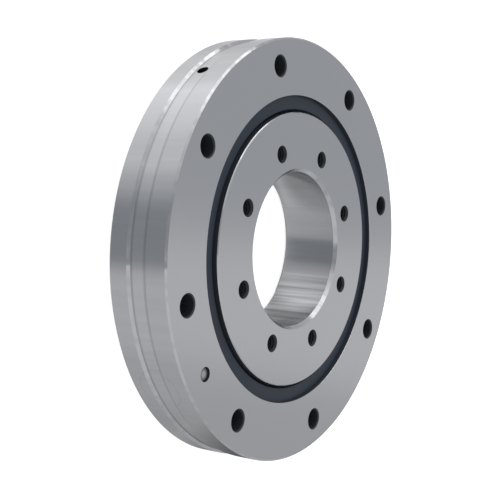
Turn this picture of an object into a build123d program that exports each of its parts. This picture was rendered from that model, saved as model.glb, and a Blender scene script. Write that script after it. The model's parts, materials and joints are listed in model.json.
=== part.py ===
"""Crossed roller bearing with mounting holes in both of its rings.

Millimetres. The bearing lies flat on its counterbored back face: +Z is its axis, Z = 0 is the back
face and the first bolt hole of the outer ring is on +X.
"""

from build123d import *
import math
import os

# Main sizes of the bearing
bore_diameter = 35.0
outside_diameter = 95.0
ring_width = 15.0

# Rollers, and the square raceway that they run in. The inset is from the outer ring's bolt circle
raceway_inset = 8.5
roller_diameter = 6.0
roller_edge = 0.3
roller_lean = 45.0
running_clearance = 0.06
roller_end_clearance = 0.16
relief_width = 0.8
relief_depth = 0.15
shoulder_gap = 1.0

# Spacers between the rollers
spacer_web = 1.8
pocket_clearance = 0.06
spacer_side_clearance = 0.26
spacer_end_gap = 4.0
spacer_corner = 0.9

# Seals, seated in the outer ring and running close to the inner ring
seal_recess = 0.9
seal_thickness = 1.5
seal_seat_ledge = 1.15
seal_land_ledge = 1.6
seal_bead_depth = 0.45
seal_bead_height = 0.8
seal_fit = 0.02
seal_lip_clearance = 0.08
seal_lip_reach = 0.62
seal_lip_drop = 0.75
seal_lip_edge = 0.3
seal_under_clearance = 0.3

# Bolt holes of the outer ring, counterbored from the back. The inset is from the rim
outer_bolt_inset = 6.0
outer_bolt_count = 8
outer_bolt_hole = 4.5
counterbore_diameter = 8.0
counterbore_depth = 4.4
bolt_hole_edge = 0.25

# Tapped holes of the inner ring, drilled to the size under the thread. The inset is from the bore
inner_bolt_inset = 5.0
inner_bolt_count = 8
tapping_bore = 3.3
countersink_diameter = 3.9
inner_ring_turn = 6.9

# Filling hole and its plug, held by a taper pin whose thick end is at the front
plug_diameter = 9.5
plug_fit = 0.01
plug_angle = -23.1
pin_diameter = 3.0
pin_taper = 1 / 50
pin_recess = 0.4
pin_back_recess = 1.0
pin_fit = 0.01
pin_edge = 0.25

# Shallow groove round the rim, and the lubrication hole in it
rim_groove_width = 4.8
rim_groove_depth = 0.55
rim_groove_slope = 45.0
lube_hole_diameter = 2.5
lube_hole_angle = -112.0

# Broken edges of both rings
front_edge = 0.4
back_edge = 0.9
bore_front_edge = 0.75
bore_back_edge = 1.15
seal_land_edge = 0.2
seal_seat_edge = 0.1

# Worked out from the sizes above
outer_radius = outside_diameter / 2
outer_bolt_radius = outer_radius - outer_bolt_inset
pitch_radius = outer_bolt_radius - raceway_inset
bore_radius = bore_diameter / 2
inner_bolt_radius = bore_radius + inner_bolt_inset
mid_height = ring_width / 2
raceway_side = roller_diameter + 2 * running_clearance
raceway_reach = raceway_side / math.sqrt(2)
roller_length = raceway_side - 2 * roller_end_clearance
outer_shoulder_radius = pitch_radius + shoulder_gap / 2
inner_shoulder_radius = pitch_radius - shoulder_gap / 2
seal_seat_radius = outer_shoulder_radius + seal_seat_ledge
seal_land_radius = inner_shoulder_radius - seal_land_ledge
seal_seat_depth = seal_recess + seal_thickness
seal_land_depth = seal_seat_depth + seal_under_clearance
seal_bead_radius = seal_seat_radius + seal_bead_depth
seal_lip_radius = seal_land_radius + seal_lip_clearance
rim_groove_reach = rim_groove_width + 2 * rim_groove_depth / math.tan(math.radians(rim_groove_slope))

# An even number of rollers, so that neighbours lean opposite ways all round
least_pitch = roller_diameter + 2 * pocket_clearance + spacer_web
roller_count = 2 * int(math.pi * pitch_radius / least_pitch)
station_angle = 360 / roller_count
station_chord = 2 * pitch_radius * math.sin(math.radians(station_angle / 2))
spacer_side = raceway_side - 2 * spacer_side_clearance
spacer_length = station_chord - spacer_end_gap

section_plane = Plane.XZ


def radial_plane(angle, radius, height):
    """A plane whose normal points straight out of the bearing at this angle."""
    turn = math.radians(angle)
    outward = (math.cos(turn), math.sin(turn), 0)
    return Plane(origin=(radius * outward[0], radius * outward[1], height), z_dir=outward)


def roller_plane(index):
    """The plane across the middle of one roller. Its normal is the roller's own axis, pointing up."""
    turn = math.radians(index * station_angle)
    lean = math.radians(roller_lean if index % 2 == 0 else -roller_lean)
    centre = (pitch_radius * math.cos(turn), pitch_radius * math.sin(turn), mid_height)
    along = (math.sin(lean) * math.cos(turn), math.sin(lean) * math.sin(turn), math.cos(lean))
    tangent = (-math.sin(turn), math.cos(turn), 0)
    return Plane(origin=centre, x_dir=tangent, z_dir=along)


def spacer_plane(index):
    """The plane across the middle of the spacer that follows one roller. Its X points outward."""
    turn = math.radians((index + 0.5) * station_angle)
    radius = pitch_radius * math.cos(math.radians(station_angle / 2))
    outward = (math.cos(turn), math.sin(turn), 0)
    tangent = (-math.sin(turn), math.cos(turn), 0)
    return Plane(origin=(radius * outward[0], radius * outward[1], mid_height), x_dir=outward, z_dir=tangent)


def ring_blank(inside_radius, outside_radius):
    """Draw the plain section of a ring, to be cut further."""
    with Locations(((inside_radius + outside_radius) / 2, mid_height)):
        Rectangle(outside_radius - inside_radius, ring_width)


def cut_raceway():
    """Cut the square raceway, standing on its corner, with a relief for grinding at each corner."""
    with Locations((pitch_radius, mid_height)):
        Rectangle(raceway_side, raceway_side, rotation=45, mode=Mode.SUBTRACT)
        Rectangle(2 * (raceway_reach + relief_depth), relief_width, mode=Mode.SUBTRACT)


def cut_from_faces(inside_radius, outside_radius, start_depth, end_depth):
    """Cut the same recess from both faces of a ring's section, between two depths."""
    middle_radius = (inside_radius + outside_radius) / 2
    middle_depth = (start_depth + end_depth) / 2
    with Locations((middle_radius, middle_depth), (middle_radius, ring_width - middle_depth)):
        Rectangle(outside_radius - inside_radius, end_depth - start_depth, mode=Mode.SUBTRACT)


def outer_ring_section():
    """Draw the outer ring's section: rim groove, raceway and the seats of both seals."""
    ring_blank(outer_shoulder_radius, outer_radius)
    cut_raceway()
    cut_from_faces(outer_shoulder_radius, seal_seat_radius, 0, seal_seat_depth)
    cut_from_faces(outer_shoulder_radius, seal_bead_radius, seal_seat_depth - seal_bead_height, seal_seat_depth)
    with Locations((outer_radius, mid_height)):
        Trapezoid(rim_groove_reach, 2 * rim_groove_depth, rim_groove_slope, rotation=90, mode=Mode.SUBTRACT)


def circles_of(part, radius, height):
    """The round edges of this radius at this height, centred on the bearing's axis or off it."""
    rounds = part.edges().filter_by(GeomType.CIRCLE)
    level = rounds.filter_by(lambda edge: math.isclose(edge.arc_center.Z, height, abs_tol=0.001))
    return level.filter_by(lambda edge: math.isclose(edge.radius, radius, abs_tol=0.001))


def cut_pin_hole(fit):
    """Cut the taper pin's hole right through, wider than the pin by this fit all round."""
    front_radius = pin_diameter / 2 + pin_recess * pin_taper / 2 + fit
    back_radius = front_radius - ring_width * pin_taper / 2
    with Locations(pin_plane):
        Cone(back_radius, front_radius, ring_width, align=(Align.CENTER, Align.CENTER, Align.MIN), mode=Mode.SUBTRACT)


def keep(piece, name):
    """Label a finished piece and write it."""
    piece.part.label = name
    export_step(piece.part, f"parts/{name}.step")


os.makedirs("parts", exist_ok=True)

plug_plane = radial_plane(plug_angle, outer_radius, mid_height)
lube_plane = radial_plane(lube_hole_angle, outer_radius, mid_height)
pin_plane = Plane(radial_plane(plug_angle, outer_bolt_radius, 0).origin)
back_face = Plane(origin=(0, 0, 0), x_dir=(1, 0, 0), z_dir=(0, 0, -1))

# Outer ring
with BuildPart() as outer_ring:
    with BuildSketch(section_plane):
        outer_ring_section()
    revolve(axis=Axis.Z)
    chamfer(circles_of(outer_ring, outer_radius, ring_width), front_edge)
    chamfer(circles_of(outer_ring, outer_radius, 0), back_edge)
    seat_edges = circles_of(outer_ring, seal_seat_radius, 0) + circles_of(outer_ring, seal_seat_radius, ring_width)
    chamfer(seat_edges, seal_seat_edge)
    with Locations(back_face):
        with PolarLocations(outer_bolt_radius, outer_bolt_count):
            CounterBoreHole(outer_bolt_hole / 2, counterbore_diameter / 2, counterbore_depth, ring_width)
    chamfer(circles_of(outer_ring, outer_bolt_hole / 2, ring_width), bolt_hole_edge)
    with Locations(plug_plane):
        Hole(plug_diameter / 2 + plug_fit, outer_radius - pitch_radius)
    with Locations(lube_plane):
        Hole(lube_hole_diameter / 2, outer_radius - pitch_radius)
    cut_pin_hole(pin_fit)
keep(outer_ring, "outer_ring")

# Plug of the filling hole, finished flush with the raceway inside and with the rim outside
with BuildPart() as filling_plug:
    with BuildSketch(section_plane):
        outer_ring_section()
    revolve(axis=Axis.Z)
    with BuildSketch(plug_plane):
        Circle(plug_diameter / 2)
    extrude(amount=pitch_radius - outer_radius, mode=Mode.INTERSECT)
    cut_pin_hole(pin_fit)
keep(filling_plug, "filling_plug")

# Taper pin
with BuildPart() as taper_pin:
    pin_length = ring_width - pin_recess - pin_back_recess
    with Locations(pin_plane.offset(pin_back_recess)):
        Cone(
            pin_diameter / 2 - pin_length * pin_taper / 2,
            pin_diameter / 2,
            pin_length,
            align=(Align.CENTER, Align.CENTER, Align.MIN),
        )
    chamfer(taper_pin.edges().filter_by(GeomType.CIRCLE), pin_edge)
keep(taper_pin, "taper_pin")

# Inner ring
with BuildPart() as inner_ring:
    with BuildSketch(section_plane):
        ring_blank(bore_radius, inner_shoulder_radius)
        cut_raceway()
        cut_from_faces(seal_land_radius, inner_shoulder_radius, 0, seal_land_depth)
    revolve(axis=Axis.Z)
    chamfer(circles_of(inner_ring, bore_radius, ring_width), bore_front_edge)
    chamfer(circles_of(inner_ring, bore_radius, 0), bore_back_edge)
    land_edges = circles_of(inner_ring, seal_land_radius, 0) + circles_of(inner_ring, seal_land_radius, ring_width)
    chamfer(land_edges, seal_land_edge)
    with PolarLocations(inner_bolt_radius, inner_bolt_count, start_angle=inner_ring_turn):
        Hole(tapping_bore / 2)
    mouths = circles_of(inner_ring, tapping_bore / 2, 0) + circles_of(inner_ring, tapping_bore / 2, ring_width)
    chamfer(mouths, (countersink_diameter - tapping_bore) / 2)
keep(inner_ring, "inner_ring")

# Front seal: a flat ring with a bead that holds it in its seat, and a lip towards the inner ring
with BuildPart() as front_seal:
    top = ring_width - seal_recess
    bottom = top - seal_thickness
    lip_top = top - seal_lip_drop
    with BuildSketch(section_plane):
        with BuildLine():
            Polyline(
                (seal_seat_radius - seal_fit, top),
                (seal_lip_radius + seal_lip_reach, top),
                (seal_lip_radius, lip_top),
                (seal_lip_radius, lip_top - seal_lip_edge),
                (seal_lip_radius + seal_lip_reach, bottom),
                (seal_bead_radius - seal_fit, bottom),
                (seal_bead_radius - seal_fit, bottom + seal_bead_height - seal_fit),
                (seal_seat_radius - seal_fit, bottom + seal_bead_height - seal_fit),
                close=True,
            )
        make_face()
    revolve(axis=Axis.Z)
keep(front_seal, "front_seal")

# Back seal, the same seal turned over
with BuildPart() as back_seal:
    add(front_seal.part.mirror(Plane.XY.offset(mid_height)))
keep(back_seal, "back_seal")

# Rollers, each leaning the other way than its neighbours
for index in range(roller_count):
    with BuildPart() as roller:
        with BuildSketch(roller_plane(index)):
            Circle(roller_diameter / 2)
        extrude(amount=roller_length / 2, both=True)
        chamfer(roller.edges().filter_by(GeomType.CIRCLE), roller_edge)
    keep(roller, f"roller_{index + 1:02d}")

# Spacers, each hollowed on both sides to fit the two rollers that it parts
for index in range(roller_count):
    with BuildPart() as spacer:
        with BuildSketch(spacer_plane(index)) as outline:
            Rectangle(spacer_side, spacer_side, rotation=45)
            chamfer(outline.vertices(), spacer_corner)
        extrude(amount=spacer_length / 2, both=True)
        for neighbour in (index, index + 1):
            with BuildSketch(roller_plane(neighbour)):
                Circle(roller_diameter / 2 + pocket_clearance)
            extrude(amount=raceway_side, both=True, mode=Mode.SUBTRACT)
    keep(spacer, f"spacer_{index + 1:02d}")
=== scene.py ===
"""Surface finishes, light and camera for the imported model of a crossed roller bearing.

The bearing lies flat on its back face: +Z is its axis, and lengths in the settings are in metres.
Patterns in the materials are worked out in millimetres.
"""

import json
import math
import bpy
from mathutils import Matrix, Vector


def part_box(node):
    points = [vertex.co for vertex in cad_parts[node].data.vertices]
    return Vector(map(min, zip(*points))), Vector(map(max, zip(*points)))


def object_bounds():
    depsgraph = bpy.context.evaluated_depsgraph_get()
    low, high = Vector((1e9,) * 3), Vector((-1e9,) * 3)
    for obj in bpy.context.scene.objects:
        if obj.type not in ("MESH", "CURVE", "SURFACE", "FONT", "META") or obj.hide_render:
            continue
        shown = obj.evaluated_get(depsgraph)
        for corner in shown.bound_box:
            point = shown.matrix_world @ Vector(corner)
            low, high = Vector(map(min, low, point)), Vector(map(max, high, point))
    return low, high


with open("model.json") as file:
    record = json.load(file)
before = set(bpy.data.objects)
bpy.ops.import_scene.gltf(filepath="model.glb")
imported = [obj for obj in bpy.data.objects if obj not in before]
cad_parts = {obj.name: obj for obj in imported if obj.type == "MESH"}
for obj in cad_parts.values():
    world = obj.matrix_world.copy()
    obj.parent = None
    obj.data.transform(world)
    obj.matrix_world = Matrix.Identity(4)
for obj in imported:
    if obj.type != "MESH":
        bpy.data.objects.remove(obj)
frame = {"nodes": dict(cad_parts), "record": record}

from types import SimpleNamespace

import bpy
from bpy.props import FloatProperty, FloatVectorProperty, IntProperty, PointerProperty
from bpy.types import Operator, Panel, PropertyGroup
from mathutils import Vector

bl_info = {
    "name": "Crossed Roller Bearing Finishes",
    "version": (1, 0, 0),
    "blender": (4, 5, 0),
    "location": "3D View > Sidebar > Bearing",
    "description": "Gives each piece of a crossed roller bearing its finish, and sets up a small studio",
    "category": "Material",
}

CAD_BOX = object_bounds()
RING_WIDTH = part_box("outer_ring")[1].z
PLUG_LOW, PLUG_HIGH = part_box("filling_plug")
PIN_MIDDLE = sum(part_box("taper_pin"), Vector()) / 2
MOUNTS = {mount["name"]: mount["dims"] for mount in frame["record"]["mounts"]}
ROLLERS = sorted(name for name in frame["nodes"] if name.startswith("roller_"))
SPACERS = sorted(name for name in frame["nodes"] if name.startswith("spacer_"))

# Millimetres in a metre
MM = 1000
# How far the edges of the bolt holes and of the tapped holes are broken, in millimetres
BOLT_EDGE = 0.25
TAPPED_EDGE = 0.3
# How far past its size a wall still counts as that wall, in millimetres
MARGIN = 0.02
# How upright a normal is, as a share: at least this on a face, and at most this on a wall
FACE_UPRIGHT = 0.95
WALL_UPRIGHT = 0.2
# Where the values of a noise texture mostly lie
MOST_NOISE = {"From Min": 0.3, "From Max": 0.7}
# Distance between the middles of two nodes in the node editor, across and down
NODE_STEP = (220, 260)

# The light tent's panels, set until the steel mirrored them as in the photograph. The low belt
# stands beside the part and reaches below it, and the high belt stands above the low one. Each panel is
# (first azimuth, last azimuth, brightness, coolness), in degrees round the part's axis. A coolness of 1
# takes a tenth off the red and adds a tenth to the blue
LOW_BELT = (
    (-180, -157, 0.93, -0.05), (-155.5, -149, 1.3, -0.05), (-147.5, -137, 1.1, -0.05),
    (-135, -129.5, 1.03, -0.05), (-126, -121, 0.92, -0.05), (-117, -113, 0.8, 0), (-110, -102, 0.83, 0),
    (-97, -95, 0.64, 0.2), (-78, -49, 0.34, 0.5), (-42, -4, 0.635, 0), (8, 30, 0.545, 0),
    (50, 72, 0.45, 0), (88, 106, 0.58, 0), (120, 136, 1.15, 0), (150, 166, 0.68, 0), (175, 180, 0.93, -0.05),
)
HIGH_BELT = (
    (-180, -178.5, 0.6, 0), (-174, -168, 2.15, -0.05), (-164.5, -162, 0.6, -0.05),
    (-159, -155.5, 2.15, -0.05), (-152.5, -150.5, 0.5, -0.05), (-147.5, -144.5, 2.2, -0.05),
    (-134, -106, 0.72, -0.05), (-86, -52, 0.36, 0.4), (-43, -5, 0.75, 0), (5, 20, 0.73, 0),
    (35, 60, 0.56, 0.1), (76, 95, 0.66, 0.1), (100, 108.3, 0.525, 0.1), (109.6, 117.2, 0.69, 0),
    (118.4, 135, 0.49, 0.3), (150, 180, 0.6, 0),
)
# The brightness that a full ramp colour stands for
BRIGHTEST = 3.0
# How steeply a ray climbs, as the Z of its way, where the high belt takes over from the low one, and where
# the light overhead does from the high one
BELTS_MEET = (-0.3, 0.05)
TOP_FROM = (0.93, 0.98)

# Two glowing cards below the table, painted reflections that only mirrors see, with their edges in metres,
# and how far back their light has faded
CARDS = {
    "rim_card": {"left": 0.036, "right": 0.085, "near": 0.006, "far": 0.06, "faded": 0.032},
    "bore_card": {"left": -0.03, "right": 0.0005, "near": 0.009, "far": 0.035, "faded": 0.013},
}


def linear(hex_colour):
    """Turn an sRGB hex colour into the linear values that the shaders take."""
    parts = [int(hex_colour[i:i + 2], 16) / 255 for i in (1, 3, 5)]
    return tuple(c / 12.92 if c <= 0.04045 else ((c + 0.055) / 1.055) ** 2.4 for c in parts)


def add_node(tree, kind, settings=None, links=None):
    """Add a node, set its properties and sockets, link its inputs and stand it to the right of them.

    A link comes from a socket, or from a node whose first output is meant.
    """
    node = tree.nodes.new(kind)
    for key, value in (settings or {}).items():
        if isinstance(key, int) or key in node.inputs:
            node.inputs[key].default_value = value
        else:
            setattr(node, key, value)
    for key, source in (links or {}).items():
        socket = source.outputs[0] if isinstance(source, bpy.types.Node) else source
        tree.links.new(socket, node.inputs[key])
    feeders = [link.from_node.location.x for socket in node.inputs for link in socket.links]
    column = max(feeders, default=-NODE_STEP[0]) + NODE_STEP[0]
    above = [other for other in tree.nodes if other != node and abs(other.location.x - column) < 1]
    node.location = (column, -NODE_STEP[1] * len(above))
    return node


def new_material(name, colour):
    """Make a material with an empty node tree. The colour is what the solid view shows."""
    material = bpy.data.materials.new(name)
    material.use_nodes = True
    material.node_tree.nodes.clear()
    material.diffuse_color = (*colour, 1)
    return material


def finish_material(material, shader):
    """Link a shader to the material's output."""
    add_node(material.node_tree, "ShaderNodeOutputMaterial", links={"Surface": shader})


def dress(names, material):
    """Give CAD nodes this material."""
    for name in names:
        piece = frame["nodes"][name]
        if not piece.material_slots:
            piece.data.materials.append(material)
        for slot in piece.material_slots:
            slot.material = material


def across(tree, way):
    """How far a way reaches across the bearing's axis."""
    flat = add_node(tree, "ShaderNodeVectorMath", {"operation": "MULTIPLY", 1: (1, 1, 0)}, {0: way})
    return add_node(tree, "ShaderNodeVectorMath", {"operation": "LENGTH"}, {0: flat}).outputs["Value"]


def either(tree, masks):
    """One where any of the masks is one."""
    joined = masks[0]
    for mask in masks[1:]:
        joined = add_node(tree, "ShaderNodeMath", {"operation": "MAXIMUM"}, {0: joined, 1: mask})
    return joined


def speckle(tree, place, size, detail, low, high):
    """A value that wanders from low to high, in specks of this size in millimetres, and its noise.

    The place is in metres.
    """
    noise = add_node(tree, "ShaderNodeTexNoise", {"Scale": MM / size, "Detail": detail}, {"Vector": place})
    return add_node(tree, "ShaderNodeMapRange", {"To Min": low, "To Max": high}, {"Value": noise}), noise


def flat_way(angle):
    """The way that points at this angle round the bearing's axis."""
    return (math.cos(angle), math.sin(angle), 0)


def ring_places(tree):
    """Where a ring's patterns are: places in millimetres, and masks that are one on a kind of surface."""
    where = add_node(tree, "ShaderNodeTexCoord")
    place = add_node(
        tree, "ShaderNodeVectorMath", {"operation": "SCALE", "Scale": MM}, {0: where.outputs["Object"]}
    )
    spot = add_node(tree, "ShaderNodeSeparateXYZ", None, {0: place})
    facing = add_node(tree, "ShaderNodeSeparateXYZ", None, {0: where.outputs["Normal"]})
    upright = add_node(tree, "ShaderNodeMath", {"operation": "ABSOLUTE"}, {0: facing.outputs["Z"]})
    face = add_node(tree, "ShaderNodeMath", {"operation": "GREATER_THAN", 1: FACE_UPRIGHT}, {0: upright})
    not_face = add_node(tree, "ShaderNodeMath", {"operation": "SUBTRACT", 0: 1.0}, {1: face})
    wall = add_node(tree, "ShaderNodeMath", {"operation": "LESS_THAN", 1: WALL_UPRIGHT}, {0: upright})

    # What is neither a face nor a wall is a broken edge or a slope of the rim's groove
    edge = add_node(tree, "ShaderNodeMath", {"operation": "SUBTRACT"}, {0: not_face, 1: wall})

    # Marks on the walls and edges run along the axis, so patterns change slowly that way
    slow = 0.03
    long_way = add_node(tree, "ShaderNodeVectorMath", {"operation": "MULTIPLY", 1: (1, 1, slow)}, {0: place})
    return SimpleNamespace(
        place=place, height=spot.outputs["Z"], radius=across(tree, place), face=face, not_face=not_face,
        wall=wall, edge=edge, long_way=long_way,
    )


def ground_relief(tree, ring, steel):
    """The waves in the walls and edges, as a normal, and the noise that the edges' waves follow."""
    # Slight chatter of the grinding wheel, which breaks up the highlights on the walls
    chatter = add_node(
        tree, "ShaderNodeTexNoise",
        {"Scale": 1 / (steel.chatter_spacing * MM), "Detail": 2.0, "Roughness": 0.6},
        {"Vector": ring.long_way},
    )
    chatter_height = add_node(
        tree, "ShaderNodeMath", {"operation": "MULTIPLY", 1: steel.chatter_height * MM}, {0: chatter}
    )
    chattered = add_node(
        tree, "ShaderNodeBump", {"Distance": 1 / MM}, {"Height": chatter_height, "Strength": ring.wall}
    )

    # The edges are broken by hand, so they are wavier and glint in dashes
    waves = add_node(
        tree, "ShaderNodeTexNoise", {"Scale": 1 / (steel.edge_spacing * MM), "Detail": 1.0},
        {"Vector": ring.long_way},
    )
    wave_height = add_node(
        tree, "ShaderNodeMath", {"operation": "MULTIPLY", 1: steel.edge_height * MM}, {0: waves}
    )
    relief = add_node(
        tree, "ShaderNodeBump", {"Distance": 1 / MM},
        {"Height": wave_height, "Strength": ring.edge, "Normal": chattered},
    )
    return relief, waves


def ground_shade(tree, ring, steel, rings, waves):
    """How bright the ground steel is, against its plain colour."""
    # Grinding lines on the faces. Real ones are finer than the render can show, so these are as coarse as
    # they need to be
    lay = add_node(tree, "ShaderNodeCombineXYZ", None, {"X": ring.radius, "Y": ring.height})
    lines = add_node(
        tree, "ShaderNodeTexNoise", {"Scale": 1 / (steel.line_spacing * MM), "Detail": 3.0}, {"Vector": lay}
    )
    line_shade = add_node(
        tree, "ShaderNodeMapRange",
        {"From Min": 0.25, "From Max": 0.75, "To Min": steel.line_shades[0], "To Max": steel.line_shades[1]},
        {"Value": lines},
    )

    # Streaks along the walls, where the wheel cut a little finer or coarser
    streaks = add_node(
        tree, "ShaderNodeTexNoise",
        {"Scale": 1 / (steel.streak_spacing * MM), "Detail": 2.0, "Roughness": 0.6},
        {"Vector": ring.long_way},
    )
    rim_shade = add_node(
        tree, "ShaderNodeMapRange",
        {**MOST_NOISE, "To Min": steel.rim_shades[0], "To Max": steel.rim_shades[1]}, {"Value": streaks},
    )

    # Painted shade darkens the bore, which is less well lit inside, and on one side painted highlights and
    # painted shade make its streaks stronger
    along = add_node(
        tree, "ShaderNodeVectorMath", {"operation": "DOT_PRODUCT", 1: flat_way(rings.painted_streak_angle)},
        {0: ring.place},
    )
    streaked = add_node(
        tree, "ShaderNodeMapRange",
        {
            "interpolation_type": "SMOOTHSTEP",
            "From Min": rings.bore * MM * math.cos(rings.painted_streak_reach),
            "From Max": rings.bore * MM * math.cos(rings.painted_streak_middle),
        },
        {"Value": along.outputs["Value"]},
    )
    dullest, brightest = (
        add_node(
            tree, "ShaderNodeMix", {"data_type": "FLOAT", 2: usual_bore_shade, 3: painted_streak_shade}, {0: streaked}
        )
        for usual_bore_shade, painted_streak_shade in zip(steel.bore_shades, steel.painted_streak_shades)
    )
    bore_shade = add_node(
        tree, "ShaderNodeMapRange", MOST_NOISE, {"Value": streaks, "To Min": dullest, "To Max": brightest}
    )
    in_bore = add_node(
        tree, "ShaderNodeMath", {"operation": "LESS_THAN", 1: rings.bore * MM + MARGIN}, {0: ring.radius}
    )
    wall_shade = add_node(
        tree, "ShaderNodeMix", {"data_type": "FLOAT"}, {0: in_bore, 2: rim_shade, 3: bore_shade}
    )

    # Painted glints: the broken edges are drawn brighter in some places and duller in others, so their
    # highlights break into dashes
    edge_glint_shade = add_node(
        tree, "ShaderNodeMapRange",
        {
            "interpolation_type": "SMOOTHSTEP", "From Min": 0.4, "From Max": 0.56,
            "To Min": steel.edge_glint_shades[0], "To Max": steel.edge_glint_shades[1],
        },
        {"Value": waves},
    )
    flat_shade = add_node(
        tree, "ShaderNodeMix", {"data_type": "FLOAT"}, {0: ring.face, 2: wall_shade, 3: line_shade}
    )
    return add_node(
        tree, "ShaderNodeMix", {"data_type": "FLOAT"}, {0: ring.edge, 2: flat_shade, 3: edge_glint_shade}
    )


def shade_groove(tree, ring, rings, shade):
    """Shade the rim's groove, which is only turned: its floor is lighter, and painted shade darkens its
    corners.
    """
    # How far from the corners the painted shade starts and is darkest, and how far the floor's mask reaches
    # up and in
    corner_shade_from = 0.75
    corner_shade_full = 0.25
    floor_reach = 0.1
    from_middle = add_node(
        tree, "ShaderNodeMath", {"operation": "SUBTRACT", 1: RING_WIDTH / 2 * MM}, {0: ring.height}
    )
    off_middle = add_node(tree, "ShaderNodeMath", {"operation": "ABSOLUTE"}, {0: from_middle})
    corner = (rings.groove_width / 2 - rings.groove_depth) * MM
    floor_and_corner_shade = add_node(
        tree, "ShaderNodeMapRange",
        {
            "interpolation_type": "SMOOTHSTEP", "From Min": corner - corner_shade_from, "From Max": corner - corner_shade_full,
            "To Min": rings.groove_shades[0], "To Max": rings.groove_shades[1],
        },
        {"Value": off_middle},
    )
    at_floor = add_node(
        tree, "ShaderNodeMath",
        {"operation": "COMPARE", 1: (rings.rim - rings.groove_depth) * MM, 2: floor_reach}, {0: ring.radius},
    )
    floor = add_node(tree, "ShaderNodeMath", {"operation": "MULTIPLY"}, {0: at_floor, 1: ring.wall})
    floor_shade = add_node(tree, "ShaderNodeMath", {"operation": "MULTIPLY"}, {0: shade, 1: floor_and_corner_shade})
    return add_node(tree, "ShaderNodeMix", {"data_type": "FLOAT"}, {0: floor, 2: shade, 3: floor_shade})


def shade_joint(tree, ring, rings, shade):
    """Draw the hairline of oil in the joint round the filling hole's plug."""
    half_hairline = 0.07
    plug_way = flat_way(rings.plug_angle)
    from_plug = add_node(
        tree, "ShaderNodeVectorMath", {"operation": "SUBTRACT", 1: (0, 0, RING_WIDTH / 2 * MM)},
        {0: ring.place},
    )
    off_plug = add_node(
        tree, "ShaderNodeVectorMath", {"operation": "CROSS_PRODUCT", 1: plug_way}, {0: from_plug}
    )
    distance = add_node(tree, "ShaderNodeVectorMath", {"operation": "LENGTH"}, {0: off_plug})
    round_plug = add_node(
        tree, "ShaderNodeMath", {"operation": "COMPARE", 1: rings.plug_diameter / 2 * MM, 2: half_hairline},
        {0: distance.outputs["Value"]},
    )
    outward = add_node(
        tree, "ShaderNodeVectorMath", {"operation": "DOT_PRODUCT", 1: plug_way}, {0: ring.place}
    )
    near_side = add_node(
        tree, "ShaderNodeMath", {"operation": "GREATER_THAN", 1: 0.0}, {0: outward.outputs["Value"]}
    )
    joint = add_node(tree, "ShaderNodeMath", {"operation": "MULTIPLY"}, {0: round_plug, 1: near_side})
    joint_shade = add_node(
        tree, "ShaderNodeMath", {"operation": "MULTIPLY_ADD", 1: -rings.joint_darkness, 2: 1.0}, {0: joint}
    )
    return add_node(tree, "ShaderNodeMath", {"operation": "MULTIPLY"}, {0: shade, 1: joint_shade})


def from_hole(tree, place, hole):
    """The way from the axis of the nearest hole of a bolt circle to the place, in millimetres."""
    step = math.tau / hole["count"]
    flat = add_node(tree, "ShaderNodeSeparateXYZ", None, {0: place})
    turn = add_node(
        tree, "ShaderNodeMath", {"operation": "ARCTAN2"}, {0: flat.outputs["Y"], 1: flat.outputs["X"]}
    )
    from_start = add_node(
        tree, "ShaderNodeMath", {"operation": "SUBTRACT", 1: hole["start"] - step / 2}, {0: turn}
    )
    nearest = add_node(tree, "ShaderNodeMath", {"operation": "SNAP", 1: step}, {0: from_start})
    back = add_node(
        tree, "ShaderNodeMath", {"operation": "MULTIPLY_ADD", 1: -1.0, 2: -hole["start"]}, {0: nearest}
    )
    first = add_node(
        tree, "ShaderNodeVectorRotate", {"rotation_type": "Z_AXIS"}, {"Vector": place, "Angle": back}
    )
    return add_node(
        tree, "ShaderNodeVectorMath", {"operation": "SUBTRACT", 1: (hole["circle"] * MM, 0, 0)}, {0: first}
    )


def in_holes(tree, ring, holes, relief):
    """A mask of the walls of the holes, and the relief with their threads, as rings and not as a helix."""
    walls = []
    for hole in holes:
        distance = across(tree, from_hole(tree, ring.place, hole))
        in_mouth = add_node(
            tree, "ShaderNodeMath", {"operation": "LESS_THAN", 1: hole["mouth"] * MM + MARGIN}, {0: distance}
        )
        walls.append(in_mouth)
        if hole["pitch"]:
            # The turns are drawn half as deep as real ones
            turns = add_node(
                tree, "ShaderNodeMath", {"operation": "PINGPONG", 1: hole["pitch"] / 2 * MM},
                {0: ring.height},
            )
            relief = add_node(
                tree, "ShaderNodeBump", {"Distance": 0.5 / MM},
                {"Height": turns, "Strength": in_mouth, "Normal": relief},
            )
        if hole["deep"]:
            low = add_node(
                tree, "ShaderNodeMath", {"operation": "LESS_THAN", 1: hole["deep"] * MM + MARGIN},
                {0: ring.height},
            )
            wide = add_node(
                tree, "ShaderNodeMath", {"operation": "LESS_THAN", 1: hole["counterbore"] * MM + MARGIN},
                {0: distance},
            )
            walls.append(add_node(tree, "ShaderNodeMath", {"operation": "MULTIPLY"}, {0: low, 1: wide}))
    return either(tree, walls), relief


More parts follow.
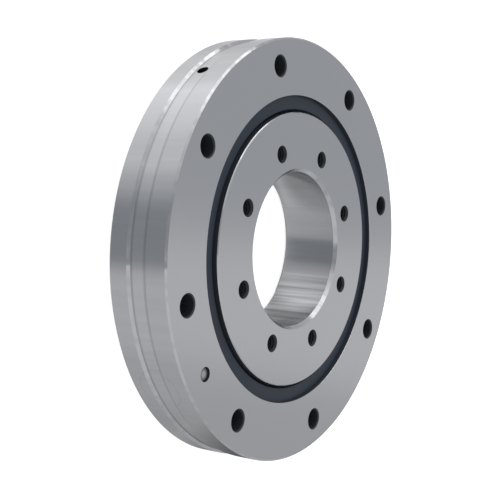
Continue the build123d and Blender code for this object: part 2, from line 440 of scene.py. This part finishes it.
def ground_steel(name, steel, holes, rings):
    """Bearing steel, hardened through and then ground.

    Its faces are ground nearly smooth and look satin grey. Its rim and bore are ground round the axis, which
    stretches each reflection along the axis into a band across the ring's width. Bolt holes are drilled
    before hardening and keep their scale, so they look black, and the pin's hole gets their colour as
    painted shade. The walls beside the seals are drawn dark and dull.
    """
    material = new_material(name, steel.colour)
    tree = material.node_tree
    ring = ring_places(tree)
    relief, waves = ground_relief(tree, ring, steel)
    shade = ground_shade(tree, ring, steel, rings, waves)
    shade = shade_groove(tree, ring, rings, shade)
    shade = shade_joint(tree, ring, rings, shade)
    steel_tint = add_node(
        tree, "ShaderNodeVectorMath", {"operation": "SCALE", 0: tuple(steel.colour)}, {"Scale": shade}
    )

    # Walls beside the seals drawn dark and dull, up onto the seat's edge, and scale left in the holes
    seat_edge_reach = 0.03
    inner_wall = rings.seal_land * MM - MARGIN
    outer_wall = rings.seal_seat * MM + seat_edge_reach
    beside_seals = add_node(
        tree, "ShaderNodeMath",
        {"operation": "COMPARE", 1: (inner_wall + outer_wall) / 2, 2: (outer_wall - inner_wall) / 2},
        {0: ring.radius},
    )
    darkened = add_node(
        tree, "ShaderNodeMath", {"operation": "MULTIPLY"}, {0: beside_seals, 1: ring.not_face}
    )
    darkened_tint = add_node(
        tree, "ShaderNodeMix", {"data_type": "RGBA", 7: (*steel.dark_wall_colour, 1)},
        {0: darkened, 6: steel_tint},
    )
    # The holes' walls take the scale's colour: real scale in the bolt and tapped holes, painted shade in the
    # pin's hole
    scale, relief = in_holes(tree, ring, holes, relief)
    tint = add_node(
        tree, "ShaderNodeMix", {"data_type": "RGBA", 7: (*steel.scale_and_shade_colour, 1)},
        {0: scale, 6: darkened_tint.outputs[2]},
    )
    dull = either(tree, [scale, darkened])
    bright = add_node(tree, "ShaderNodeMath", {"operation": "SUBTRACT", 0: 1.0}, {1: dull})

    # Cloudy differences in the satin, a few millimetres across
    clouds = add_node(
        tree, "ShaderNodeTexNoise", {"Scale": 1 / (steel.cloud_spacing * MM), "Detail": 3.0},
        {"Vector": ring.place},
    )
    ground = add_node(
        tree, "ShaderNodeMapRange", {"To Min": steel.wall_roughness, "To Max": steel.face_roughness},
        {"Value": ring.face},
    )
    cloudy = add_node(tree, "ShaderNodeMapRange", {"To Min": 0.9, "To Max": 1.1}, {"Value": clouds})
    satin = add_node(tree, "ShaderNodeMath", {"operation": "MULTIPLY"}, {0: ground, 1: cloudy})
    roughness = add_node(
        tree, "ShaderNodeMix", {"data_type": "FLOAT", 3: steel.dull_roughness}, {0: dull, 2: satin}
    )

    stretched = add_node(
        tree, "ShaderNodeMath", {"operation": "MULTIPLY", 1: steel.anisotropy}, {0: ring.not_face}
    )
    anisotropy = add_node(tree, "ShaderNodeMath", {"operation": "MULTIPLY"}, {0: stretched, 1: bright})
    axis = add_node(tree, "ShaderNodeCombineXYZ", {"Z": 1.0})
    shader = add_node(
        tree, "ShaderNodeBsdfPrincipled", None,
        {
            "Base Color": tint.outputs[2], "Metallic": bright, "Roughness": roughness, "Normal": relief,
            "Anisotropic": anisotropy, "Tangent": axis,
        },
    )
    finish_material(material, shader)
    return material


class SteelSettings(PropertyGroup):
    colour: FloatVectorProperty(
        name="Steel", description="Colour of the ground steel", subtype="COLOR", size=3, min=0, max=1,
        default=linear("#C6C7CB"),
    )
    # Scale in the bolt and tapped holes, and painted shade in the pin's hole
    scale_and_shade_colour: FloatVectorProperty(
        name="Scale", description="Colour of the scale that hardening leaves in the bolt holes",
        subtype="COLOR", size=3, min=0, max=1, default=linear("#2C3136"),
    )
    # The walls beside the seals are drawn in this dark colour
    dark_wall_colour: FloatVectorProperty(
        name="Darkened Steel", description="Colour of the steel drawn darker, beside the seals",
        subtype="COLOR", size=3, min=0, max=1, default=linear("#343A41"),
    )
    face_roughness: FloatProperty(
        name="Face Roughness", description="Roughness of the two flat faces", subtype="FACTOR", min=0, max=1,
        default=0.15,
    )
    wall_roughness: FloatProperty(
        name="Wall Roughness", description="Roughness of the rim, the bore and the chamfers",
        subtype="FACTOR", min=0, max=1, default=0.23,
    )
    dull_roughness: FloatProperty(
        name="Dull Roughness", description="Roughness of the scale in the holes and of the greasy walls",
        subtype="FACTOR", min=0, max=1, default=0.55,
    )
    anisotropy: FloatProperty(
        name="Stretch", description="How far grinding stretches reflections along the axis",
        subtype="FACTOR", min=0, max=1, default=0.9,
    )
    line_spacing: FloatProperty(
        name="Line Spacing", description="Distance between grinding lines", unit="LENGTH",
        subtype="DISTANCE", min=0.00001, precision=5, default=0.0005,
    )
    chatter_spacing: FloatProperty(
        name="Chatter Spacing", description="Distance between the waves round the rim and the bore",
        unit="LENGTH", subtype="DISTANCE", min=0.0001, precision=5, default=0.0024,
    )
    chatter_height: FloatProperty(
        name="Chatter Height", description="Height of those waves", unit="LENGTH", subtype="DISTANCE", min=0,
        precision=7, default=0.000008,
    )
    edge_spacing: FloatProperty(
        name="Edge Wave Spacing", description="Distance between the waves along edges broken by hand",
        unit="LENGTH", subtype="DISTANCE", min=0.0001, precision=5, default=0.0035,
    )
    edge_height: FloatProperty(
        name="Edge Wave Height", description="Height of those waves", unit="LENGTH", subtype="DISTANCE",
        min=0, precision=6, default=0.0002,
    )
    streak_spacing: FloatProperty(
        name="Streak Spacing", description="Distance between the streaks round the rim and the bore",
        unit="LENGTH", subtype="DISTANCE", min=0.0001, precision=5, default=0.00125,
    )
    cloud_spacing: FloatProperty(
        name="Cloud Spacing", description="Distance between cloudy places in the satin", unit="LENGTH",
        subtype="DISTANCE", min=0.0001, precision=5, default=0.00555,
    )
    line_shades: FloatVectorProperty(
        name="Line Shades", description="Brightness of the faces' grinding lines, darkest and brightest",
        size=2, min=0, precision=3, default=(0.985, 1.012),
    )
    # Painted glints along the broken edges, dullest and brightest
    edge_glint_shades: FloatVectorProperty(
        name="Edge Shades", description="Brightness of the broken edges, dullest and brightest", size=2,
        min=0, precision=3, default=(0.93, 1.02),
    )
    rim_shades: FloatVectorProperty(
        name="Rim Shades", description="Brightness of the rim's streaks, darkest and brightest", size=2,
        min=0, precision=3, default=(0.965, 1.02),
    )
    # The bore's shades darken it as painted shade, and the next ones paint highlights and shade into its
    # streaks on one side
    bore_shades: FloatVectorProperty(
        name="Bore Shades", description="Brightness of the bore's streaks, darkest and brightest", size=2,
        min=0, precision=3, default=(0.808, 0.862),
    )
    painted_streak_shades: FloatVectorProperty(
        name="Scratched Shades", description="Brightness of the bore's streaks where it is most scratched",
        size=2, min=0, precision=3, default=(0.538, 1.092),
    )


class HoleSettings(PropertyGroup):
    outer_circle: FloatProperty(
        name="Outer Bolt Circle", description="Radius of the outer ring's bolt circle", unit="LENGTH",
        subtype="DISTANCE", precision=4, default=MOUNTS["outer_bolts"]["pcd_mm"] / 2 / MM,
    )
    outer_mouth: FloatProperty(
        name="Outer Mouth", description="Radius of a bolt hole's mouth in the outer ring", unit="LENGTH",
        subtype="DISTANCE", precision=5, default=(MOUNTS["outer_bolts"]["hole_r_mm"] + BOLT_EDGE) / MM,
    )
    counterbore: FloatProperty(
        name="Counterbore", description="Radius of the counterbores", unit="LENGTH", subtype="DISTANCE",
        precision=4, default=0.004,
    )
    counterbore_depth: FloatProperty(
        name="Counterbore Depth", description="Depth of the counterbores", unit="LENGTH", subtype="DISTANCE",
        precision=4, default=0.0044,
    )
    inner_circle: FloatProperty(
        name="Inner Bolt Circle", description="Radius of the inner ring's bolt circle", unit="LENGTH",
        subtype="DISTANCE", precision=4, default=MOUNTS["inner_bolts"]["pcd_mm"] / 2 / MM,
    )
    inner_mouth: FloatProperty(
        name="Inner Mouth", description="Radius of a tapped hole's mouth in the inner ring", unit="LENGTH",
        subtype="DISTANCE", precision=5, default=(MOUNTS["inner_bolts"]["hole_r_mm"] + TAPPED_EDGE) / MM,
    )
    thread_pitch: FloatProperty(
        name="Thread Pitch", description="Distance between the turns of the thread in the tapped holes",
        unit="LENGTH", subtype="DISTANCE", min=0.0001, precision=5, default=0.0007,
    )
    inner_start: FloatProperty(
        name="Inner Start", description="Angle of the inner ring's first hole", unit="ROTATION",
        subtype="ANGLE", default=math.radians(6.9),
    )
    count: IntProperty(
        name="Holes", description="Number of holes in each ring", min=1,
        default=MOUNTS["outer_bolts"]["count"],
    )


class RingSettings(PropertyGroup):
    bore: FloatProperty(
        name="Bore", description="Radius of the bore", unit="LENGTH", subtype="DISTANCE", precision=4,
        default=MOUNTS["bore"]["r_mm"] / MM,
    )
    rim: FloatProperty(
        name="Rim", description="Radius of the rim", unit="LENGTH", subtype="DISTANCE", precision=4,
        default=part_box("outer_ring")[1].x,
    )
    groove_width: FloatProperty(
        name="Groove Width", description="Width of the rim's groove at its mouth", unit="LENGTH",
        subtype="DISTANCE", precision=4, default=0.0048,
    )
    groove_depth: FloatProperty(
        name="Groove Depth", description="Depth of the rim's groove", unit="LENGTH", subtype="DISTANCE",
        precision=5, default=0.00055,
    )
    plug_angle: FloatProperty(
        name="Plug Angle", description="Angle of the plug and its pin", unit="ROTATION", subtype="ANGLE",
        default=math.atan2(PIN_MIDDLE.y, PIN_MIDDLE.x),
    )
    plug_diameter: FloatProperty(
        name="Plug", description="Diameter of the filling hole's plug", unit="LENGTH", subtype="DISTANCE",
        precision=4, default=PLUG_HIGH.z - PLUG_LOW.z,
    )
    # The groove's floor is lighter in its middle, and painted shade darkens its corners
    groove_shades: FloatVectorProperty(
        name="Groove Shades", description="Brightness of the groove's floor, at its middle and its corners",
        size=2, min=0, precision=3, default=(1.05, 0.83),
    )
    # Where, and how far round, the bore gets painted highlights and painted shade in stronger streaks
    painted_streak_angle: FloatProperty(
        name="Scratched Angle", description="Where the bore is most scratched, round the bearing's axis",
        unit="ROTATION", subtype="ANGLE", default=math.radians(67.0),
    )
    painted_streak_middle: FloatProperty(
        name="Most Scratched", description="How far each side of that angle the bore is most scratched",
        unit="ROTATION", subtype="ANGLE", default=math.radians(14.0),
    )
    painted_streak_reach: FloatProperty(
        name="Streaked", description="How far each side of that angle the painted streaks reach", unit="ROTATION",
        subtype="ANGLE", default=math.radians(35.0),
    )
    joint_darkness: FloatProperty(
        name="Joint", description="Darkness of the hairline round the plug", subtype="FACTOR", min=0, max=1,
        default=0.1,
    )
    seal_land: FloatProperty(
        name="Seal Land", description="Radius of the inner ring's wall beside the seals", unit="LENGTH",
        subtype="DISTANCE", precision=4, default=0.0309,
    )
    seal_seat: FloatProperty(
        name="Seal Seat", description="Radius of the outer ring's wall beside the seals", unit="LENGTH",
        subtype="DISTANCE", precision=5, default=0.03465,
    )
    pin_radius: FloatProperty(
        name="Pin Hole", description="Radius of the taper pin's hole", unit="LENGTH", subtype="DISTANCE",
        precision=5, default=0.00152,
    )


class PlainSettings(PropertyGroup):
    pin_colour: FloatVectorProperty(
        name="Pin", description="Colour of the taper pin's steel", subtype="COLOR", size=3, min=0, max=1,
        default=linear("#B9BABB"),
    )
    # Painted shade on the pin's end, which lies in its hole: where it starts, where it is darkest, and how
    # bright
    pin_unshaded_radius: FloatProperty(
        name="Pin Bright", description="Radius of the bright middle of the pin's end", unit="LENGTH",
        subtype="DISTANCE", min=0, precision=5, default=0.0004,
    )
    pin_shade_radius: FloatProperty(
        name="Pin Dark", description="Radius from which the pin's end is shaded", unit="LENGTH",
        subtype="DISTANCE", min=0, precision=5, default=0.0011,
    )
    pin_painted_shades: FloatVectorProperty(
        name="Pin Shades", description="Brightness of the pin's end, at its middle and shaded", size=2,
        min=0, precision=3, default=(1.05, 0.42),
    )
    rubber_colour: FloatVectorProperty(
        name="Seal Rubber", description="Colour of the seals", subtype="COLOR", size=3, min=0, max=1,
        default=linear("#1D2A3A"),
    )
    roller_colour: FloatVectorProperty(
        name="Rollers", description="Colour of the rollers' steel", subtype="COLOR", size=3, min=0, max=1,
        default=linear("#CBCCCE"),
    )
    spacer_colour: FloatVectorProperty(
        name="Spacers", description="Colour of the spacers", subtype="COLOR", size=3, min=0, max=1,
        default=linear("#E4DCC6"),
    )


class StudioSettings(PropertyGroup):
    floor_size: FloatProperty(
        name="Floor", description="Length of the floor's sides", unit="LENGTH", subtype="DISTANCE",
        default=3.0,
    )
    floor_gap: FloatProperty(
        name="Floor Gap", description="How far the floor lies below the part", unit="LENGTH",
        subtype="DISTANCE", min=0, precision=5, default=0.00002,
    )
    floor_colour: FloatVectorProperty(
        name="Floor Colour", description="Colour of the table's white sheet", subtype="COLOR", size=3, min=0,
        max=1, default=linear("#EEEEEE"),
    )
    floor_glow: FloatProperty(
        name="Table Light", description="Strength of the light that shines through the table", min=0,
        default=0.75,
    )
    # The cards' glow, as painted reflections that only mirrors see
    rim_card_glows: FloatVectorProperty(
        name="Rim Card", size=2, min=0, default=(0.5, 0.12),
        description="Brightness of the card that the rim mirrors, at its near side and faded",
    )
    bore_card_glows: FloatVectorProperty(
        name="Bore Card", size=2, min=0, default=(0.95, 0.45),
        description="Brightness of the card that the bore mirrors, at its near side and faded",
    )
    card_depth: FloatProperty(
        name="Card Depth", description="How far the cards lie below the part", unit="LENGTH",
        subtype="DISTANCE", min=0.001, precision=4, default=0.004,
    )
    tent_strength: FloatProperty(
        name="Light", description="Strength of the light tent", min=0, default=1.0,
    )
    overhead: FloatProperty(
        name="Overhead", description="Brightness of the light overhead", min=0, max=BRIGHTEST, default=0.8,
    )
    backdrop: FloatProperty(
        name="Backdrop", description="Brightness of what the camera sees beyond the table", min=0,
        default=0.93,
    )
    camera_place: FloatVectorProperty(
        name="Camera", description="Where the camera stands", unit="LENGTH", subtype="XYZ", size=3,
        precision=5, default=(0.093757, -0.18194, 0.139991),
    )
    camera_turn: FloatVectorProperty(
        name="Camera Turn", unit="ROTATION", subtype="EULER", size=3,
        description="The camera's rotation, on its side as the bearing stands upright in the photograph",
        default=tuple(math.radians(a) for a in (-3.9314, -56.3807, 124.9213)),
    )
    camera_shift: FloatVectorProperty(
        name="Camera Shift", size=2, precision=4, default=(-0.0229, -0.0984),
        description="Shift of the lens across and up, as a share of the picture's width, because the "
        "photograph is cut from a larger picture",
    )
    lens: FloatProperty(name="Lens", description="Focal length in millimetres", min=1, default=76.05)
    sensor: FloatProperty(name="Sensor", description="Width of the sensor in millimetres", min=1, default=36)
    clip_start: FloatProperty(
        name="Nearest", description="How near to the camera things show", unit="LENGTH", subtype="DISTANCE",
        min=0.0001, precision=4, default=0.005,
    )


class BEARING_OT_rings(Operator):
    """Give both rings and the filling hole's plug their ground steel"""

    bl_idname = "bearing.finish_rings"
    bl_label = "Finish Rings and Plug"

    def execute(self, context):
        steel = context.scene.bearing_steel
        holes = context.scene.bearing_holes
        rings = context.scene.bearing_rings

        # Each circle of holes has its radius, their number and the first one's angle, the mouth's radius,
        # the radius and depth of the counterbore, and the pitch of the thread, where there is one
        bolts = {
            "circle": holes.outer_circle, "count": holes.count, "start": 0, "mouth": holes.outer_mouth,
            "counterbore": holes.counterbore, "deep": holes.counterbore_depth, "pitch": None,
        }
        # The pin's hole is listed with the holes, so its wall takes the scale's colour as painted shade
        pin = {
            "circle": holes.outer_circle, "count": 1, "start": rings.plug_angle, "mouth": rings.pin_radius,
            "counterbore": None, "deep": None, "pitch": None,
        }
        tapped = {
            "circle": holes.inner_circle, "count": holes.count, "start": holes.inner_start,
            "mouth": holes.inner_mouth, "counterbore": None, "deep": None, "pitch": holes.thread_pitch,
        }
        outer = ground_steel("Bearing steel, ground, outer ring", steel, [bolts, pin], rings)
        inner = ground_steel("Bearing steel, ground, inner ring", steel, [tapped], rings)
        dress(["outer_ring", "filling_plug"], outer)
        dress(["inner_ring"], inner)
        return {"FINISHED"}


class BEARING_OT_pin(Operator):
    """Give the taper pin its steel"""

    bl_idname = "bearing.finish_pin"
    bl_label = "Finish Taper Pin"

    def execute(self, context):
        plain = context.scene.bearing_plain
        # Turned steel that was driven in: plain grey, with painted shade on its end
        material = new_material("Carbon steel, turned", plain.pin_colour)
        tree = material.node_tree
        where = add_node(tree, "ShaderNodeTexCoord").outputs["Object"]
        rough, _ = speckle(tree, where, size=0.25, detail=3.0, low=0.3, high=0.5)

        # Painted shade: the end lies in its hole, so it is drawn bright in the middle and darker towards its
        # rim
        from_middle = add_node(
            tree, "ShaderNodeVectorMath", {"operation": "SUBTRACT", 1: PIN_MIDDLE}, {0: where}
        )
        shade = add_node(
            tree, "ShaderNodeMapRange",
            {
                "interpolation_type": "SMOOTHSTEP", "From Min": plain.pin_unshaded_radius, "From Max": plain.pin_shade_radius,
                "To Min": plain.pin_painted_shades[0], "To Max": plain.pin_painted_shades[1],
            },
            {"Value": across(tree, from_middle)},
        )
        tint = add_node(
            tree, "ShaderNodeVectorMath", {"operation": "SCALE", 0: tuple(plain.pin_colour)},
            {"Scale": shade},
        )
        shader = add_node(
            tree, "ShaderNodeBsdfPrincipled", {"Metallic": 1.0}, {"Base Color": tint, "Roughness": rough}
        )
        finish_material(material, shader)
        dress(["taper_pin"], material)
        return {"FINISHED"}


class BEARING_OT_seals(Operator):
    """Give both seals their moulded rubber"""

    bl_idname = "bearing.finish_seals"
    bl_label = "Finish Seals"

    def execute(self, context):
        colour = context.scene.bearing_plain.rubber_colour
        # Nitrile rubber leaves its mould blue-black and half matt, and a faint bloom makes patches of it
        # paler
        material = new_material("Nitrile rubber, moulded", colour)
        tree = material.node_tree
        where = add_node(tree, "ShaderNodeTexCoord").outputs["Object"]
        rough, grain = speckle(tree, where, size=0.2, detail=3.0, low=0.42, high=0.6)
        relief = add_node(tree, "ShaderNodeBump", {"Distance": 0.004 / MM}, {"Height": grain})
        paler, _ = speckle(tree, where, size=4.55, detail=3.0, low=0.8, high=1.2)
        tint = add_node(
            tree, "ShaderNodeVectorMath", {"operation": "SCALE", 0: tuple(colour)}, {"Scale": paler}
        )
        shader = add_node(
            tree, "ShaderNodeBsdfPrincipled", {"Metallic": 0.0, "IOR": 1.52},
            {"Base Color": tint, "Roughness": rough, "Normal": relief},
        )
        finish_material(material, shader)
        dress(["front_seal", "back_seal"], material)
        return {"FINISHED"}


class BEARING_OT_rollers(Operator):
    """Give the rollers their polished steel"""

    bl_idname = "bearing.finish_rollers"
    bl_label = "Finish Rollers"

    def execute(self, context):
        colour = context.scene.bearing_plain.roller_colour
        # Lapping leaves the rollers bright as a mirror, with a faint haze of scratches all over. Real
        # scratches are far finer than the haze that shows
        material = new_material("Bearing steel, lapped", colour)
        tree = material.node_tree
        where = add_node(tree, "ShaderNodeTexCoord").outputs["Object"]
        rough, grain = speckle(tree, where, size=0.4, detail=2.0, low=0.08, high=0.16)
        haze = add_node(tree, "ShaderNodeMapRange", {"To Min": 0.94, "To Max": 1.04}, {"Value": grain})
        tint = add_node(
            tree, "ShaderNodeVectorMath", {"operation": "SCALE", 0: tuple(colour)}, {"Scale": haze}
        )
        shader = add_node(
            tree, "ShaderNodeBsdfPrincipled", {"Metallic": 1.0}, {"Base Color": tint, "Roughness": rough}
        )
        finish_material(material, shader)
        dress(ROLLERS, material)
        return {"FINISHED"}


class BEARING_OT_spacers(Operator):
    """Give the spacers their moulded plastic"""

    bl_idname = "bearing.finish_spacers"
    bl_label = "Finish Spacers"

    def execute(self, context):
        colour = context.scene.bearing_plain.spacer_colour
        # Acetal is ivory and waxy, and a little paler where the melt flowed together in the mould
        material = new_material("Acetal, moulded", colour)
        tree = material.node_tree
        where = add_node(tree, "ShaderNodeTexCoord").outputs["Object"]
        rough, _ = speckle(tree, where, size=0.67, detail=2.0, low=0.38, high=0.5)
        paler, _ = speckle(tree, where, size=2.5, detail=2.0, low=0.9, high=1.05)
        tint = add_node(
            tree, "ShaderNodeVectorMath", {"operation": "SCALE", 0: tuple(colour)}, {"Scale": paler}
        )
        shader = add_node(
            tree, "ShaderNodeBsdfPrincipled", {"Metallic": 0.0, "IOR": 1.48},
            {"Base Color": tint, "Roughness": rough},
        )
        finish_material(material, shader)
        dress(SPACERS, material)
        return {"FINISHED"}


def stage_sheet(name, left, right, near, far, height):
    """Lay a flat sheet that isn't part of the object."""
    mesh = bpy.data.meshes.new(name)
    corners = [(left, near, height), (right, near, height), (right, far, height), (left, far, height)]
    mesh.from_pydata(corners, [], [(0, 1, 2, 3)])
    sheet = bpy.data.objects.new(name, mesh)
    bpy.context.scene.collection.objects.link(sheet)
    return sheet


def lay_table(studio):
    """Lay a white sheet that is lit from below, as under small parts in product photographs."""
    half = studio.floor_size / 2
    table = stage_sheet("table", -half, half, -half, half, CAD_BOX[0].z - studio.floor_gap)
    # Cast opal acrylic spreads the lamps below it, so it looks evenly white and shows no shine
    acrylic = new_material("Acrylic sheet, opal", studio.floor_colour)
    shader = add_node(
        acrylic.node_tree, "ShaderNodeBsdfPrincipled",
        {
            "Base Color": (*studio.floor_colour, 1), "Roughness": 0.9, "Specular IOR Level": 0.0,
            "Emission Color": (1, 1, 1, 1), "Emission Strength": studio.floor_glow,
        },
    )
    finish_material(acrylic, shader)
    table.data.materials.append(acrylic)
    table.visible_glossy = False


def lay_card(studio, name, left, right, near, far, faded):
    """Lay a glowing card below the table, which only mirrors show, as a painted reflection darkening what
    the steel mirrors close by.
    """
    near_glow, faded_glow = getattr(studio, name + "_glows")
    card = stage_sheet(name, left, right, near, far, CAD_BOX[0].z - studio.card_depth)
    # The card is black and matt, so it shows no shine, and glows brighter at its near side than farther
    # back, as a painted reflection
    board = new_material("Glowing card, " + name, (faded_glow,) * 3)
    tree = board.node_tree
    where = add_node(tree, "ShaderNodeTexCoord")
    spot = add_node(tree, "ShaderNodeSeparateXYZ", None, {0: where.outputs["Object"]})
    glow = add_node(
        tree, "ShaderNodeMapRange",
        {"From Min": near, "From Max": faded, "To Min": near_glow, "To Max": faded_glow},
        {"Value": spot.outputs["Y"]},
    )
    shader = add_node(
        tree, "ShaderNodeBsdfPrincipled",
        {
            "Base Color": (0, 0, 0, 1), "Roughness": 1.0, "Specular IOR Level": 0.0,
            "Emission Color": (1, 1, 1, 1),
        },
        {"Emission Strength": glow},
    )
    finish_material(board, shader)
    card.data.materials.append(board)
    card.visible_camera = False
    card.visible_diffuse = False
    card.visible_shadow = False


def tent_belt(tree, azimuth, panels):
    """The brightness of a belt of panels round the tent. Light fades from one panel to the next."""
    belt = add_node(tree, "ShaderNodeValToRGB", None, {"Fac": azimuth})
    stops = [(angle, *panel[2:]) for panel in panels for angle in panel[:2]]
    elements = belt.color_ramp.elements
    while len(elements) < len(stops):
        elements.new(1.0)
    for element, (angle, brightness, coolness) in zip(elements, stops):
        element.position = (angle + 180) / 360
        level = brightness / BRIGHTEST
        tint = 0.1 * coolness
        element.color = (level * (1 - tint), level, level * (1 + tint), 1)
    return belt


def hang_tent(studio):
    """Hang a light tent round the part: two belts of panels, and a light overhead."""
    world = bpy.data.worlds.new("light_tent")
    bpy.context.scene.world = world
    world.use_nodes = True
    tree = world.node_tree
    tree.nodes.clear()
    where = add_node(tree, "ShaderNodeTexCoord")
    way = add_node(tree, "ShaderNodeSeparateXYZ", None, {0: where.outputs["Generated"]})
    turn = add_node(
        tree, "ShaderNodeMath", {"operation": "ARCTAN2"}, {0: way.outputs["Y"], 1: way.outputs["X"]}
    )
    azimuth = add_node(
        tree, "ShaderNodeMapRange", {"From Min": -math.pi, "From Max": math.pi}, {"Value": turn}
    )
    low = tent_belt(tree, azimuth, LOW_BELT)
    high = tent_belt(tree, azimuth, HIGH_BELT)
    rise, top = (
        add_node(
            tree, "ShaderNodeMapRange",
            {"interpolation_type": "SMOOTHSTEP", "From Min": begins, "From Max": ends},
            {"Value": way.outputs["Z"]},
        )
        for begins, ends in (BELTS_MEET, TOP_FROM)
    )
    sides = add_node(tree, "ShaderNodeMix", {"data_type": "RGBA"}, {0: rise, 6: low, 7: high})
    overhead = studio.overhead / BRIGHTEST
    tent = add_node(
        tree, "ShaderNodeMix", {"data_type": "RGBA", 7: (overhead, overhead, overhead, 1)},
        {0: top, 6: sides.outputs[2]},
    )
    light = add_node(
        tree, "ShaderNodeBackground", {"Strength": BRIGHTEST * studio.tent_strength},
        {"Color": tent.outputs[2]},
    )
    grey = studio.backdrop
    plain = add_node(tree, "ShaderNodeBackground", {"Color": (grey, grey, grey, 1), "Strength": 1.0})
    ray = add_node(tree, "ShaderNodeLightPath")
    shown = add_node(
        tree, "ShaderNodeMixShader", None, {0: ray.outputs["Is Camera Ray"], 1: light, 2: plain}
    )
    add_node(tree, "ShaderNodeOutputWorld", None, {"Surface": shown})


def stand_camera(studio):
    """Stand the camera where the photograph was taken from."""
    data = bpy.data.cameras.new("camera")
    data.lens = studio.lens
    data.shift_x, data.shift_y = studio.camera_shift
    data.sensor_width = studio.sensor
    data.clip_start = studio.clip_start
    camera = bpy.data.objects.new("camera", data)
    camera.location = studio.camera_place
    camera.rotation_euler = studio.camera_turn
    bpy.context.scene.collection.objects.link(camera)
    bpy.context.scene.camera = camera


class BEARING_OT_studio(Operator):
    """Set up the table, the light tent and the camera"""

    bl_idname = "bearing.set_up_studio"
    bl_label = "Set Up Studio"

    def execute(self, context):
        studio = context.scene.bearing_studio
        context.scene.view_settings.view_transform = "Standard"
        lay_table(studio)
        for name, sizes in CARDS.items():
            lay_card(studio, name, **sizes)
        hang_tent(studio)
        stand_camera(studio)
        return {"FINISHED"}


class BEARING_PT_panel(Panel):
    """Settings and buttons for the bearing"""

    bl_idname = "BEARING_PT_panel"
    bl_label = "Crossed Roller Bearing"
    bl_space_type = "VIEW_3D"
    bl_region_type = "UI"
    bl_category = "Bearing"

    def draw(self, context):
        layout = self.layout
        layout.use_property_split = True
        for group, operators in PANEL_ROWS:
            box = layout.box()
            settings = getattr(context.scene, group)
            for name in type(settings).__annotations__:
                box.prop(settings, name)
            for operator in operators:
                box.operator(operator.bl_idname)


GROUPS = {
    "bearing_steel": SteelSettings,
    "bearing_holes": HoleSettings,
    "bearing_rings": RingSettings,
    "bearing_plain": PlainSettings,
    "bearing_studio": StudioSettings,
}
OPERATORS = (
    BEARING_OT_rings, BEARING_OT_pin, BEARING_OT_seals, BEARING_OT_rollers, BEARING_OT_spacers,
    BEARING_OT_studio,
)
PANEL_ROWS = (
    ("bearing_steel", ()),
    ("bearing_holes", ()),
    ("bearing_rings", (BEARING_OT_rings,)),
    ("bearing_plain", (BEARING_OT_pin, BEARING_OT_seals, BEARING_OT_rollers, BEARING_OT_spacers)),
    ("bearing_studio", (BEARING_OT_studio,)),
)


def register():
    """Register the classes and put their settings on the scene."""
    for cls in (*GROUPS.values(), *OPERATORS, BEARING_PT_panel):
        bpy.utils.register_class(cls)
    for name, group in GROUPS.items():
        setattr(bpy.types.Scene, name, PointerProperty(type=group))


def unregister():
    """Take the settings off the scene and the classes out again."""
    for name in GROUPS:
        delattr(bpy.types.Scene, name)
    for cls in reversed((*GROUPS.values(), *OPERATORS, BEARING_PT_panel)):
        bpy.utils.unregister_class(cls)


def main():
    """Finish every piece and set up the studio."""
    register()
    bpy.ops.bearing.finish_rings()
    bpy.ops.bearing.finish_pin()
    bpy.ops.bearing.finish_seals()
    bpy.ops.bearing.finish_rollers()
    bpy.ops.bearing.finish_spacers()
    bpy.ops.bearing.set_up_studio()


if __name__ == "__main__":
    main()
